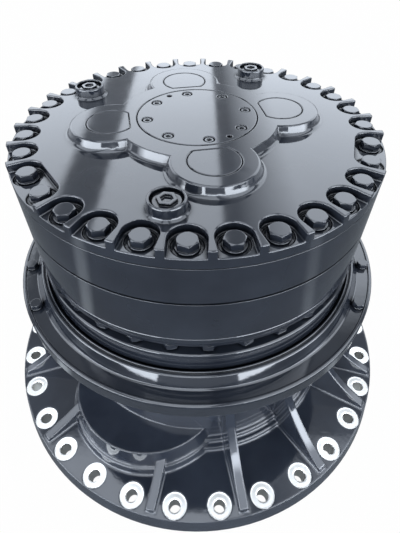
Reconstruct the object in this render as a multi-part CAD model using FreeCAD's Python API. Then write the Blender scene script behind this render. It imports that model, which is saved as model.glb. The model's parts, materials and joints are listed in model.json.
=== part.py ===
import FreeCAD, Part

import math
import os

# Final drive of a crawler machine, standing on the flange that bolts to the track frame.
# Millimetres, +Z up along the main axis, origin on that axis at the bottom of the base flange.
# Angles are in degrees about +Z, and 0 is the front, at -Y, with positive angles towards +X.

os.makedirs("parts", exist_ok=True)

AXIS = FreeCAD.Vector(0, 0, 1)
ORIGIN = FreeCAD.Vector(0, 0, 0)

# Heights of the stack, from the floor up
BASE_FLANGE_TOP = 50.0
NECK_TOP = 340.0
HUB_BOTTOM = 345.0
MID_FLANGE_BOTTOM = 360.0
MID_FLANGE_TOP = 400.0
COLLAR_TOP = 420.0
SHOULDER_TOP = 461.0
HUB_LIP_BOTTOM = 485.0
HUB_LIP_STEP = 499.0
HUB_TOP = 513.0
LOWER_CASING_TOP = 604.0
UPPER_CASING_TOP = 682.0
COVER_TOP = 717.0
ISLAND_TOP = 735.0

# Radii of the big turned faces
BODY_R = 347.0
CASING_BORE_R = 294.0
CASING_GROOVE_WIDTH = 5.0
CASING_GROOVE_DEPTH = 2.5
BASE_BOTTOM_R = 514.0
BASE_TOP_R = 506.0
NECK_R = 335.0

# Base casting
MOTOR_PILOT_R = 150.0
MOTOR_PILOT_DEPTH = 50.0
NECK_BORE_R = 296.0
NECK_DECK_BOTTOM = 300.0
PLINTH_R = 360.0
PLINTH_TOP = 64.0
UPPER_PLINTH_R = 346.0
UPPER_PLINTH_TOP = 78.0
BASE_HOLE_COUNT = 30
BASE_HOLE_PITCH_R = 477.0
BASE_HOLE_R = 13.0
BASE_HOLE_START = 5.7
BASE_SEAT_R = 27.0
BASE_SEAT_DEPTH = 1.0
MOTOR_HOLE_COUNT = 12
MOTOR_HOLE_PITCH_R = 172.0
MOTOR_HOLE_R = 8.75
MOTOR_HOLE_DEPTH = 32.0
RIB_THICKNESS = 20.0
RIB_OUTER_R = 497.0
RIB_OUTER_Z = 63.0
RIB_INNER_Z = 262.0
RIB_HOLLOW = 26.0
RIB_ROOT = 12.0
RIB_ANGLES = [-72.3, 11.7, 35.7, 59.7] + [71.7 + 24.0 * k for k in range(9)]
SHORT_RIB_ANGLES = [-48.3, -12.3]
SHORT_RIB_INNER_R = 380.0
SHORT_RIB_INNER_Z = 100.0
SHORT_RIB_HOLLOW = 4.0
BOSS_ANGLE = -30.0
BOSS_OFFSET = 236.0
BOSS_FOOT_R = 207.0
BOSS_TOP_R = 186.0
BOSS_TOP = 122.0
BOSS_STEP_R = 201.0
BOSS_STEP_TOP = 70.0
BOSS_LEDGE = 6.0

# Spindle and main bearings
SPINDLE_R = 180.0
SPINDLE_BORE_R = 75.0
SPINDLE_SPIGOT_R = 150.0
SPINDLE_FOOT_R = 226.0
SPINDLE_FOOT = 14.0
SPINDLE_TOP = 484.0
BEARING_OUTER_R = 236.0
BEARING_HEIGHT = 44.0
BEARING_RING = 17.0
TRACK_LEAN = 4.0
CAGE_END_GAP = 3.0
ROLLER_PLAY = 0.3
SPACER_WIDTH = 10.0
LOWER_BEARING_Z = 366.0
UPPER_BEARING_Z = 428.0
HUB_TOP_BORE_R = 242.0
NUT_R = 214.0

# Face seal between the neck and the hub
SEAL_R = 282.0
SEAL_WIDTH = 16.0
SEAL_GROOVE_DEPTH = 14.0
SEAL_SPLIT = 342.5
SEAL_GAP = 0.3

# Hub, with a shallow trough on top of its flange and a fluted collar inside that
HUB_WAIST_R = 304.0
HUB_LIP_INSET = 4.0
HUB_LIP_R = BODY_R - HUB_LIP_INSET
FLANGE_CHAMFER = 3.0
COLLAR_WIDTH = 16.0
COLLAR_R = BODY_R + COLLAR_WIDTH
CONE_WIDTH = 13.0
TROUGH_WIDTH = 26.0
TROUGH_INNER_R = COLLAR_R + CONE_WIDTH
TROUGH_OUTER_R = TROUGH_INNER_R + TROUGH_WIDTH
TROUGH_DEPTH = 2.5
FLANGE_RIM_WIDTH = 8.0
MID_FLANGE_R = TROUGH_OUTER_R + FLANGE_RIM_WIDTH
COLLAR_RING_WIDTH = 5.0
FLUTE_WIDTH = 3.0
FLUTE_DEPTH = 3.0
GUTTER_WIDTH = 4.0
GUTTER_DEPTH = 8.0

# Body fasteners, M20 screws with hexagon heads and plain washers
BOLT_COUNT = 31
BOLT_EDGE = 27.0
BOLT_PITCH_R = BODY_R - BOLT_EDGE
BOLT_START = -14.1
BOLT_R = 10.0
BOLT_HOLE_R = 10.5
BOLT_FLATS = 30.0
BOLT_HEAD = 12.5
WASHER_R = 18.5
WASHER_THICKNESS = 3.0
COVER_BOLT_LENGTH = 62.0
HUB_STUD_LENGTH = 60.0
HUB_NUT = 16.0
HUB_STUD_END = 2.0
HUB_BOLT_EDGE = 22.5
HUB_BOLT_PITCH_R = BODY_R - HUB_BOLT_EDGE

# Trough screws, M14
TROUGH_BOLT_ANGLES = [-79.0, -61.0, 61.0, 79.0]
TROUGH_BOLT_DEPTH = 26.0
TROUGH_BOLT_R = 7.0
TROUGH_BOLT_FLATS = 22.0
TROUGH_BOLT_HEAD = 10.0
TROUGH_WASHER_R = 12.5
TROUGH_BOLT_PITCH_R = (TROUGH_OUTER_R + TROUGH_INNER_R) / 2
TROUGH_FLOOR = MID_FLANGE_TOP - TROUGH_DEPTH

# Cover
POCKET_R = 28.0
POCKET_FLOOR = 702.0
COUNTERBORE_R = 23.5
BOLT_SEAT = 699.0
PAIR_STARTS = {"right": 7, "left": 27}
POCKET_OVERRUN = 13.0
POCKET_CUT = 40.0
ISLAND_R = 150.0
LOBE_R = 72.0
ISLAND_SLOPE = 6.0
ISLAND_FOOT = 7.0
PLUG_ANGLES = [-9.5, -120.0, 152.0]
PLUG_PITCH_R = 262.0
PLUG_BOSS_R = 30.0
PLUG_BOSS_FOOT = 4.0
PLUG_BOSS_TOP = 738.0
PLUG_RECESS_R = 25.0
PLUG_RECESS_Z = 729.0
PLUG_HOLE_R = 12.0
PLUG_FLATS = 28.0
PLUG_SOCKET_FLATS = 17.0
PLUG_COLLAR_R = 22.0

# Centre plate
PLATE_R = 112.0
PLATE_THICKNESS = 8.0
PLATE_GAP = 1.0
PLATE_OPENING_R = 78.0
PLATE_SCREW_COUNT = 8
PLATE_SCREW_PITCH_R = 94.0
PLATE_SCREW_START = 12.5
PLATE_SCREW_R = 5.0
PLATE_SCREW_HEAD_R = 8.0
PLATE_COUNTERBORE_R = 10.0
PLATE_COUNTERBORE_DEPTH = 5.0
PLATE_SCREW_HEAD = 4.0
PLATE_SCREW_LENGTH = 22.0
JACK_HOLE_ANGLES = [-145.5, 34.5]
JACK_HOLE_R = 4.5
JACK_HOLE_PITCH_R = 99.0
PLATE_SOCKET_FLATS = 8.0
SOCKET_DEPTH = 3.0

# First stage, whose planet pins sit in the cover
STAGE_1_MODULE = 10.0
STAGE_1_SUN_TEETH = 14
STAGE_1_PLANET_TEETH = 18
STAGE_1_RING_TEETH = 50
STAGE_1_PLANETS = 4
STAGE_1_START = 10.0
STAGE_1_BOTTOM = 622.0
STAGE_1_TOP = 672.0
PIN_1_R = 44.0
PIN_1_BOTTOM = 617.0
PIN_CAP_THICKNESS = 8.0
PIN_CAP_FLAT = 33.0
PIN_CAP_GAP = 0.8

# Second stage, whose planet carrier stands still on the spindle
STAGE_2_MODULE = 12.0
STAGE_2_SUN_TEETH = 14
STAGE_2_PLANET_TEETH = 16
STAGE_2_RING_TEETH = 46
STAGE_2_PLANETS = 3
STAGE_2_START = 0.0
STAGE_2_BOTTOM = 520.0
STAGE_2_TOP = 590.0
PIN_2_R = 38.0
PIN_2_TOP = 596.0
CARRIER_BOTTOM = 484.0
CARRIER_TOP = 512.0
CARRIER_R = 232.0
CARRIER_BORE_R = 60.0
CARRIER_SPIGOT = 30.0

# Floating ring gear, its drive flange and the two sun wheels
RING_1_OUTER_R = 280.0
FLANGE_1_BOTTOM = 606.0
FLANGE_1_TOP = 616.0
WINDOW_COUNT = 6
WINDOW_R = 38.0
WINDOW_PITCH_R = 170.0
SUN_2_BORE_R = 40.0
SHAFT_R = 32.0
SHAFT_BOTTOM = 90.0
COUPLING_R = 48.0
COUPLING_LENGTH = 70.0
COUPLING_TOOTH_COUNT = 16
COUPLING_BORE_R = 24.0

# Shared fits and allowances
SINK = 10.0
PRESSURE_ANGLE = math.radians(20)
BACKLASH = 0.9
TOOTH_HEAD = 1.0
TOOTH_FOOT = 1.25
BUSH_WALL = 6.0
BUSH_CLEARANCE = 0.05
SIDE_PLAY = 0.4
THRUST_WALL = 14.0
RETAINER_WALL = 8.0


def place(shape, angle, radius=0.0):
    """Moves a shape out from the axis to the front, then turns it to its angle."""
    moved = shape.copy()
    moved.translate(FreeCAD.Vector(0, -radius, 0))
    moved.rotate(ORIGIN, AXIS, angle)
    return moved


def disc(radius, bottom, top):
    return Part.makeCylinder(radius, top - bottom, FreeCAD.Vector(0, 0, bottom))


def ring(outer, inner, bottom, top):
    return disc(outer, bottom, top).cut(disc(inner, bottom - 1, top + 1))


def turned(profile):
    """Turns a closed outline of (radius, height) points about the axis."""
    points = [FreeCAD.Vector(r, 0, z) for r, z in profile]
    face = Part.Face(Part.makePolygon(points + points[:1]))
    return face.revolve(ORIGIN, AXIS, 360)


def prism(points, bottom, top):
    """Raises a closed outline of (x, y) points."""
    corners = [FreeCAD.Vector(x, y, bottom) for x, y in points]
    face = Part.Face(Part.makePolygon(corners + corners[:1]))
    return face.extrude(FreeCAD.Vector(0, 0, top - bottom))


def hexagon(flats, bottom, top, turn=0.0):
    corner = flats / 2 / math.cos(math.radians(30))
    angles = [math.radians(60 * k + turn) for k in range(6)]
    return prism([(corner * math.cos(a), corner * math.sin(a)) for a in angles], bottom, top)


def group(shapes):
    return Part.makeCompound(shapes)


def join(shapes):
    return shapes[0].multiFuse(shapes[1:]).removeSplitter()


def save(name, shape):
    shape.exportStep("parts/" + name + ".step")
    state = "valid" if shape.isValid() else "BROKEN"
    print(name, state, len(shape.Solids), "solids", round(shape.Volume / 1000), "cm3")


# Gear teeth

def involute(radius, base_radius):
    angle = math.acos(min(1.0, base_radius / radius))
    return math.tan(angle) - angle


def half_thickness(teeth, module, radius, play):
    """Half the angle of a tooth at a radius, thinned or widened by the play at the pitch line."""
    pitch_r = module * teeth / 2
    base_r = pitch_r * math.cos(PRESSURE_ANGLE)
    at_pitch = math.pi / (2 * teeth) + play / (2 * pitch_r)
    return at_pitch + involute(pitch_r, base_r) - involute(radius, base_r)


def tooth_outline(teeth, module, radii, play):
    """Goes round a gear tooth by tooth, up one flank and down the other, first tooth at angle 0."""
    halves = [half_thickness(teeth, module, r, play) for r in radii]
    points = []
    for k in range(teeth):
        middle = 2 * math.pi * k / teeth - math.pi / 2
        flank = [(r, middle - half) for r, half in zip(radii, halves)]
        back = [(r, middle + half) for r, half in zip(reversed(radii), reversed(halves))]
        points += [(r * math.cos(a), r * math.sin(a)) for r, a in flank + back]
    return points


def outer_gear(teeth, module, bottom, top):
    pitch_r = module * teeth / 2
    radii = [pitch_r - TOOTH_FOOT * module, pitch_r - 0.3 * module, pitch_r + TOOTH_HEAD * module]
    return prism(tooth_outline(teeth, module, radii, -BACKLASH), bottom, top)


def ring_teeth(teeth, module, bottom, top):
    """The space inside a ring gear, which has the outline of a gear whose teeth are its gaps."""
    pitch_r = module * teeth / 2
    radii = [pitch_r - TOOTH_HEAD * module, pitch_r, pitch_r + TOOTH_FOOT * module]
    return prism(tooth_outline(teeth, module, radii, BACKLASH), bottom, top)


def planets(stage):
    """The angle and distance of each planet of a stage, and the wheel's own turn that meshes there."""
    start, count, module, sun, planet, ring_count = stage
    distance = module * (sun + planet) / 2
    stations = [360.0 / count * k for k in range(count)]
    return [(start + s, distance, -s * ring_count / planet) for s in stations]


STAGE_1 = (STAGE_1_START, STAGE_1_PLANETS, STAGE_1_MODULE,
           STAGE_1_SUN_TEETH, STAGE_1_PLANET_TEETH, STAGE_1_RING_TEETH)
STAGE_2 = (STAGE_2_START, STAGE_2_PLANETS, STAGE_2_MODULE,
           STAGE_2_SUN_TEETH, STAGE_2_PLANET_TEETH, STAGE_2_RING_TEETH)


def seat_planet(shape, angle, distance, turn):
    """Gives a planet wheel its own turn, then puts it at its station."""
    wheel = shape.copy()
    wheel.rotate(ORIGIN, AXIS, turn)
    return place(wheel, angle, distance)


def sun_wheel(stage, bottom, top):
    """A sun wheel with a gap, not a tooth, on the line to the first planet."""
    start, _, module, teeth, _, _ = stage
    wheel = outer_gear(teeth, module, bottom, top)
    wheel.rotate(ORIGIN, AXIS, start + 180.0 / teeth)
    return wheel


# Base body

def rib(angle, inner_r, inner_z, hollow):
    """An upright web with a hollow top edge, thin and blunt at the rim, tall at its inner end."""
    top_in = FreeCAD.Vector(inner_r, 0, inner_z)
    top_out = FreeCAD.Vector(RIB_OUTER_R, 0, RIB_OUTER_Z)
    chord = top_out - top_in
    normal = FreeCAD.Vector(-chord.z, 0, chord.x).normalize()
    middle = (top_in + top_out) * 0.5 - normal * hollow
    foot_in = FreeCAD.Vector(inner_r, 0, BASE_FLANGE_TOP - SINK)
    foot_out = FreeCAD.Vector(RIB_OUTER_R, 0, BASE_FLANGE_TOP - SINK)
    edges = [
        Part.Arc(top_in, middle, top_out).toShape(),
        Part.makeLine(top_out, foot_out),
        Part.makeLine(foot_out, foot_in),
        Part.makeLine(foot_in, top_in),
    ]
    web = Part.Face(Part.Wire(edges)).extrude(FreeCAD.Vector(0, RIB_THICKNESS, 0))
    web.translate(FreeCAD.Vector(0, -RIB_THICKNESS / 2, 0))
    web.rotate(ORIGIN, AXIS, angle - 90)
    return web


def base_housing():
    outline = [
        (MOTOR_PILOT_R, 0), (BASE_BOTTOM_R, 0), (BASE_TOP_R, BASE_FLANGE_TOP),
        (PLINTH_R, BASE_FLANGE_TOP), (PLINTH_R, PLINTH_TOP),
        (UPPER_PLINTH_R, PLINTH_TOP), (UPPER_PLINTH_R, UPPER_PLINTH_TOP),
        (NECK_R, UPPER_PLINTH_TOP), (NECK_R, NECK_TOP),
        (SPINDLE_SPIGOT_R, NECK_TOP), (SPINDLE_SPIGOT_R, NECK_DECK_BOTTOM),
        (NECK_BORE_R, NECK_DECK_BOTTOM), (NECK_BORE_R, MOTOR_PILOT_DEPTH), (MOTOR_PILOT_R, MOTOR_PILOT_DEPTH),
    ]
    root = BASE_FLANGE_TOP - SINK
    boss = turned([
        (0, root), (BOSS_FOOT_R, root), (BOSS_FOOT_R, BASE_FLANGE_TOP), (BOSS_STEP_R, BOSS_STEP_TOP),
        (BOSS_STEP_R - BOSS_LEDGE, BOSS_STEP_TOP), (BOSS_TOP_R, BOSS_TOP), (0, BOSS_TOP),
    ])
    boss = place(boss, BOSS_ANGLE, BOSS_OFFSET)
    boss = boss.cut(disc(NECK_BORE_R, 0, BOSS_TOP + 10))
    ribs = [rib(angle, NECK_R - RIB_ROOT, RIB_INNER_Z, RIB_HOLLOW) for angle in RIB_ANGLES]
    ribs += [rib(angle, SHORT_RIB_INNER_R, SHORT_RIB_INNER_Z, SHORT_RIB_HOLLOW) for angle in SHORT_RIB_ANGLES]
    body = join([turned(outline), boss] + ribs)
    seat = disc(BASE_SEAT_R, BASE_FLANGE_TOP - BASE_SEAT_DEPTH, BASE_FLANGE_TOP + BASE_SEAT_DEPTH)
    hole = disc(BASE_HOLE_R, -SINK, BASE_FLANGE_TOP)
    stations = [BASE_HOLE_START + 360 / BASE_HOLE_COUNT * k for k in range(BASE_HOLE_COUNT)]
    cutters = [place(cut, angle, BASE_HOLE_PITCH_R) for angle in stations for cut in (seat, hole)]
    cutters += [
        place(disc(MOTOR_HOLE_R, -SINK, MOTOR_HOLE_DEPTH), 360 / MOTOR_HOLE_COUNT * k, MOTOR_HOLE_PITCH_R)
        for k in range(MOTOR_HOLE_COUNT)
    ]
    cutters.append(ring(SEAL_R + SEAL_WIDTH / 2, SEAL_R - SEAL_WIDTH / 2,
                        NECK_TOP - SEAL_GROOVE_DEPTH, NECK_TOP + SINK))
    return body.cut(group(cutters))


def spindle():
    """A flanged sleeve that drops into the neck's deck and carries both bearings."""
    foot_top = NECK_TOP + SPINDLE_FOOT
    return turned([
        (SPINDLE_BORE_R, NECK_DECK_BOTTOM), (SPINDLE_SPIGOT_R, NECK_DECK_BOTTOM),
        (SPINDLE_SPIGOT_R, NECK_TOP), (SPINDLE_FOOT_R, NECK_TOP), (SPINDLE_FOOT_R, foot_top),
        (SPINDLE_R + BEARING_RING, foot_top), (SPINDLE_R + BEARING_RING, LOWER_BEARING_Z),
        (SPINDLE_R, LOWER_BEARING_Z), (SPINDLE_R, SPINDLE_TOP), (SPINDLE_BORE_R, SPINDLE_TOP),
    ])


def bearing(bottom, part, wide_end_up):
    """One ring of a tapered roller bearing, its track leaning by the same slope on both rings."""
    top = bottom + BEARING_HEIGHT
    lean = TRACK_LEAN if wide_end_up else -TRACK_LEAN
    inner_track = SPINDLE_R + BEARING_RING
    outer_track = BEARING_OUTER_R - BEARING_RING
    if part == "inner":
        return turned([(SPINDLE_R, bottom), (inner_track - lean, bottom),
                       (inner_track + lean, top), (SPINDLE_R, top)])
    return turned([(outer_track - lean, bottom), (BEARING_OUTER_R, bottom),
                   (BEARING_OUTER_R, top), (outer_track + lean, top)])


def roller_ring(bottom, wide_end_up):
    """The rollers of one bearing in their cage, as a single leaning ring."""
    low, high = bottom + CAGE_END_GAP, bottom + BEARING_HEIGHT - CAGE_END_GAP
    lean = TRACK_LEAN if wide_end_up else -TRACK_LEAN
    middle = (SPINDLE_R + BEARING_OUTER_R) / 2
    half = (BEARING_OUTER_R - SPINDLE_R) / 2 - BEARING_RING - ROLLER_PLAY
    shift = lean * (high - low) / BEARING_HEIGHT
    return turned([(middle - half - shift, low), (middle + half - shift, low),
                   (middle + half + shift, high), (middle - half + shift, high)])


def planet_carrier():
    """A plate with a spigot that drops into the spindle, bored for the shaft and three pins."""
    spigot = disc(SPINDLE_BORE_R, CARRIER_BOTTOM - CARRIER_SPIGOT, CARRIER_TOP)
    cutters = [disc(CARRIER_BORE_R, CARRIER_BOTTOM - CARRIER_SPIGOT - 1, CARRIER_TOP + 1)]
    for angle, distance, _ in planets(STAGE_2):
        cutters.append(place(disc(PIN_2_R, CARRIER_BOTTOM - 1, CARRIER_TOP + 1), angle, distance))
    return join([disc(CARRIER_R, CARRIER_BOTTOM, CARRIER_TOP), spigot]).cut(group(cutters))


def collars(stage, pin_r, wall, bottom, top):
    """Thrust washers or retaining rings, one round each planet pin of a stage."""
    one = ring(pin_r + wall, pin_r, bottom, top)
    return group([place(one, angle, distance) for angle, distance, _ in planets(stage)])


def pins_2():
    return group([place(disc(PIN_2_R, CARRIER_BOTTOM, PIN_2_TOP), angle, distance)
                  for angle, distance, _ in planets(STAGE_2)])


def seal(top_half):
    """One metal ring of the face seal, square in its groove with a lapped face at the split."""
    if top_half:
        return ring(SEAL_R + SEAL_WIDTH / 2, SEAL_R - SEAL_WIDTH / 2,
                    SEAL_SPLIT + SEAL_GAP / 2, HUB_BOTTOM + SEAL_GROOVE_DEPTH)
    return ring(SEAL_R + SEAL_WIDTH / 2, SEAL_R - SEAL_WIDTH / 2,
                NECK_TOP - SEAL_GROOVE_DEPTH, SEAL_SPLIT - SEAL_GAP / 2)


# Turning housing

def screw(flats, head, washer_r, washer, shank_r, length):
    """A hexagon screw with its washer, head up, with the washer's underside at height 0."""
    shank = disc(shank_r, -length, washer)
    return join([hexagon(flats, washer, washer + head), disc(washer_r, 0, washer), shank])


def bolt_angles(shift=0.0):
    return [BOLT_START + 360 / BOLT_COUNT * (k + shift) for k in range(BOLT_COUNT)]


def sprocket_hub():
    ring_inner_r = COLLAR_R - COLLAR_RING_WIDTH
    flute_inner_r = ring_inner_r - FLUTE_WIDTH
    outline = [
        (BEARING_OUTER_R, HUB_BOTTOM), (NECK_R + 5, HUB_BOTTOM), (NECK_R + 12, MID_FLANGE_BOTTOM),
        (MID_FLANGE_R - FLANGE_CHAMFER, MID_FLANGE_BOTTOM),
        (MID_FLANGE_R, MID_FLANGE_BOTTOM + FLANGE_CHAMFER),
        (MID_FLANGE_R, MID_FLANGE_TOP - FLANGE_CHAMFER), (MID_FLANGE_R - FLANGE_CHAMFER, MID_FLANGE_TOP),
        (TROUGH_OUTER_R, MID_FLANGE_TOP), (TROUGH_OUTER_R, TROUGH_FLOOR), (TROUGH_INNER_R, TROUGH_FLOOR),
        (COLLAR_R, COLLAR_TOP), (ring_inner_r, COLLAR_TOP), (ring_inner_r, COLLAR_TOP - FLUTE_DEPTH),
        (flute_inner_r, COLLAR_TOP - FLUTE_DEPTH), (flute_inner_r, COLLAR_TOP),
        (BODY_R + GUTTER_WIDTH, COLLAR_TOP), (BODY_R + GUTTER_WIDTH, COLLAR_TOP - GUTTER_DEPTH),
        (BODY_R, COLLAR_TOP - GUTTER_DEPTH), (BODY_R, SHOULDER_TOP - FLANGE_CHAMFER),
        (BODY_R - FLANGE_CHAMFER, SHOULDER_TOP), (HUB_WAIST_R, SHOULDER_TOP), (HUB_WAIST_R, HUB_LIP_BOTTOM),
        (HUB_LIP_R, HUB_LIP_BOTTOM), (HUB_LIP_R, HUB_LIP_STEP), (BODY_R, HUB_LIP_STEP), (BODY_R, HUB_TOP),
        (HUB_TOP_BORE_R, HUB_TOP), (HUB_TOP_BORE_R, UPPER_BEARING_Z + BEARING_HEIGHT),
        (BEARING_OUTER_R, UPPER_BEARING_Z + BEARING_HEIGHT),
    ]
    spacer = ring(BEARING_OUTER_R + SPACER_WIDTH, BEARING_OUTER_R - SPACER_WIDTH,
                  LOWER_BEARING_Z + BEARING_HEIGHT, UPPER_BEARING_Z)
    body = join([turned(outline), spacer])
    cutters = [ring(SEAL_R + SEAL_WIDTH / 2, SEAL_R - SEAL_WIDTH / 2,
                    HUB_BOTTOM - SINK, HUB_BOTTOM + SEAL_GROOVE_DEPTH)]
    cutters += [place(disc(BOLT_HOLE_R, HUB_LIP_BOTTOM - 1, HUB_TOP + 1), a, HUB_BOLT_PITCH_R)
                for a in bolt_angles(0.5)]
    trough_hole = disc(TROUGH_BOLT_R, TROUGH_FLOOR - TROUGH_BOLT_DEPTH, TROUGH_FLOOR + 1)
    cutters += [place(trough_hole, a, TROUGH_BOLT_PITCH_R) for a in TROUGH_BOLT_ANGLES]
    return body.cut(group(cutters))


def lower_casing():
    """The ring gear of the second stage, which is also a length of the outer wall."""
    body = disc(BODY_R, HUB_TOP, LOWER_CASING_TOP)
    teeth = ring_teeth(STAGE_2_RING_TEETH, STAGE_2_MODULE, HUB_TOP - 1, LOWER_CASING_TOP + 1)
    teeth.rotate(ORIGIN, AXIS, STAGE_2_START)
    holes = [place(disc(BOLT_R, HUB_TOP - 1, HUB_LIP_BOTTOM + HUB_STUD_LENGTH), a, HUB_BOLT_PITCH_R)
             for a in bolt_angles(0.5)]
    return body.cut(group([teeth] + holes))


def upper_casing():
    """The spacer round the first stage, with a fine groove at its foot."""
    groove_r = BODY_R - CASING_GROOVE_DEPTH
    groove_top = LOWER_CASING_TOP + CASING_GROOVE_WIDTH
    body = turned([
        (CASING_BORE_R, LOWER_CASING_TOP), (groove_r, LOWER_CASING_TOP),
        (groove_r, groove_top - CASING_GROOVE_DEPTH), (BODY_R, groove_top),
        (BODY_R, UPPER_CASING_TOP), (CASING_BORE_R, UPPER_CASING_TOP),
    ])
    holes = [place(disc(BOLT_R, BOLT_SEAT - COVER_BOLT_LENGTH, UPPER_CASING_TOP + 1), a, BOLT_PITCH_R)
             for a in bolt_angles()]
    return body.cut(group(holes))


def pocket():
    """A bolt pocket: round at its inner end, straight sided and open through the rim."""
    reach = BODY_R - BOLT_PITCH_R + POCKET_OVERRUN
    slot = Part.makeBox(2 * POCKET_R, reach, POCKET_CUT, FreeCAD.Vector(-POCKET_R, -reach, POCKET_FLOOR))
    return disc(POCKET_R, POCKET_FLOOR, POCKET_FLOOR + POCKET_CUT).fuse(slot)


def double_pocket(k):
    """What joins a pocket to the next one, up to a flat wall along their inner ends."""
    half_step = 180 / BOLT_COUNT
    half_width = BOLT_PITCH_R * math.sin(math.radians(half_step))
    wall = BOLT_PITCH_R * math.cos(math.radians(half_step)) - POCKET_R
    reach = BODY_R + POCKET_OVERRUN
    block = Part.makeBox(2 * half_width, reach - wall, POCKET_CUT,
                         FreeCAD.Vector(-half_width, -reach, POCKET_FLOOR))
    return place(block, bolt_angles()[k] + half_step)


def island(radius):
    """A raised round table with steep sloping walls and a flared foot."""
    foot_z = COVER_TOP + 5
    return turned([
        (0, COVER_TOP - 5), (radius + ISLAND_SLOPE + ISLAND_FOOT, COVER_TOP - 5),
        (radius + ISLAND_SLOPE + ISLAND_FOOT, COVER_TOP),
        (radius + ISLAND_SLOPE + 2, COVER_TOP + 2), (radius + ISLAND_SLOPE - 1, foot_z),
        (radius + 1.5, ISLAND_TOP - 1.5), (radius, ISLAND_TOP), (0, ISLAND_TOP),
    ])


def plug_boss():
    return turned([
        (0, COVER_TOP - 5), (PLUG_BOSS_R + PLUG_BOSS_FOOT, COVER_TOP - 5),
        (PLUG_BOSS_R + PLUG_BOSS_FOOT, COVER_TOP), (PLUG_BOSS_R, COVER_TOP + PLUG_BOSS_FOOT),
        (PLUG_BOSS_R, PLUG_BOSS_TOP - 2), (PLUG_BOSS_R - 2, PLUG_BOSS_TOP), (0, PLUG_BOSS_TOP),
    ])


def cap_shape(clearance, bottom, top):
    """A round cap with one flat that faces the main axis, at the front station."""
    flat = PIN_CAP_FLAT + clearance
    trim = Part.makeBox(2 * PIN_1_R, PIN_1_R, top - bottom + 2, FreeCAD.Vector(-PIN_1_R, flat, bottom - 1))
    return disc(PIN_1_R + clearance, bottom, top).cut(trim)


def end_cover():
    body = disc(BODY_R, UPPER_CASING_TOP, COVER_TOP)
    stations = planets(STAGE_1)
    raised = [body, island(ISLAND_R)]
    raised += [place(island(LOBE_R), angle, distance) for angle, distance, _ in stations]
    raised += [place(plug_boss(), angle, PLUG_PITCH_R) for angle in PLUG_ANGLES]
    body = join(raised)
    angles = bolt_angles()
    cutters = [place(pocket(), a, BOLT_PITCH_R) for a in angles]
    cutters += [double_pocket(k) for k in PAIR_STARTS.values()]
    cutters += [place(disc(COUNTERBORE_R, BOLT_SEAT, POCKET_FLOOR + 1), a, BOLT_PITCH_R) for a in angles]
    bolt_hole = disc(BOLT_HOLE_R, UPPER_CASING_TOP - 1, BOLT_SEAT + 1)
    cutters += [place(bolt_hole, a, BOLT_PITCH_R) for a in angles]
    cap_seat = ISLAND_TOP - PIN_CAP_THICKNESS
    for angle, distance, _ in stations:
        cutters.append(place(disc(PIN_1_R, UPPER_CASING_TOP - 1, cap_seat), angle, distance))
        cutters.append(place(cap_shape(PIN_CAP_GAP, cap_seat, ISLAND_TOP + 1), angle, distance))
    for angle in PLUG_ANGLES:
        cutters.append(place(disc(PLUG_RECESS_R, PLUG_RECESS_Z, PLUG_BOSS_TOP + 1), angle, PLUG_PITCH_R))
        cutters.append(place(disc(PLUG_HOLE_R, UPPER_CASING_TOP - 1, PLUG_RECESS_Z + 1), angle, PLUG_PITCH_R))
    cutters.append(disc(PLATE_R + PLATE_GAP, ISLAND_TOP - PLATE_THICKNESS, ISLAND_TOP + 1))
    cutters.append(disc(PLATE_OPENING_R, UPPER_CASING_TOP - 1, ISLAND_TOP))
    for k in range(PLATE_SCREW_COUNT):
        hole = disc(PLATE_SCREW_R, ISLAND_TOP - PLATE_SCREW_LENGTH - 6, ISLAND_TOP)
        cutters.append(place(hole, PLATE_SCREW_START + 360 / PLATE_SCREW_COUNT * k, PLATE_SCREW_PITCH_R))
    return body.cut(group(cutters))


def centre_plate():
    body = disc(PLATE_R, ISLAND_TOP - PLATE_THICKNESS, ISLAND_TOP)
    cutters = []
    for k in range(PLATE_SCREW_COUNT):
        angle = PLATE_SCREW_START + 360 / PLATE_SCREW_COUNT * k
        head = disc(PLATE_COUNTERBORE_R, ISLAND_TOP - PLATE_COUNTERBORE_DEPTH, ISLAND_TOP + 1)
        hole = disc(PLATE_SCREW_R, ISLAND_TOP - PLATE_THICKNESS - 1, ISLAND_TOP)
        cutters += [place(head, angle, PLATE_SCREW_PITCH_R), place(hole, angle, PLATE_SCREW_PITCH_R)]
    for angle in JACK_HOLE_ANGLES:
        jack = disc(JACK_HOLE_R, ISLAND_TOP - PLATE_THICKNESS - 1, ISLAND_TOP + 1)
        cutters.append(place(jack, angle, JACK_HOLE_PITCH_R))
    return body.cut(group(cutters))


def centre_plate_screws():
    seat = ISLAND_TOP - PLATE_COUNTERBORE_DEPTH
    head_top = seat + PLATE_SCREW_HEAD
    socket = hexagon(PLATE_SOCKET_FLATS, head_top - SOCKET_DEPTH, head_top + 1)
    head = disc(PLATE_SCREW_HEAD_R, seat, head_top).cut(socket)
    one = join([head, disc(PLATE_SCREW_R, ISLAND_TOP - PLATE_SCREW_LENGTH, seat)])
    angles = [PLATE_SCREW_START + 360 / PLATE_SCREW_COUNT * k for k in range(PLATE_SCREW_COUNT)]
    return group([place(one, angle, PLATE_SCREW_PITCH_R) for angle in angles])


def oil_plugs():
    """Plugs with a round collar on the boss, a hexagon head and a hexagon socket."""
    head = hexagon(PLUG_FLATS, PLUG_RECESS_Z + 3, PLUG_BOSS_TOP - 1)
    head = head.cut(hexagon(PLUG_SOCKET_FLATS, PLUG_BOSS_TOP - 7, PLUG_BOSS_TOP))
    one = join([head, disc(PLUG_COLLAR_R, PLUG_RECESS_Z, PLUG_RECESS_Z + 3),
                disc(PLUG_HOLE_R, UPPER_CASING_TOP + 6, PLUG_RECESS_Z)])
    return group([place(one, angle, PLUG_PITCH_R) for angle in PLUG_ANGLES])


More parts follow.
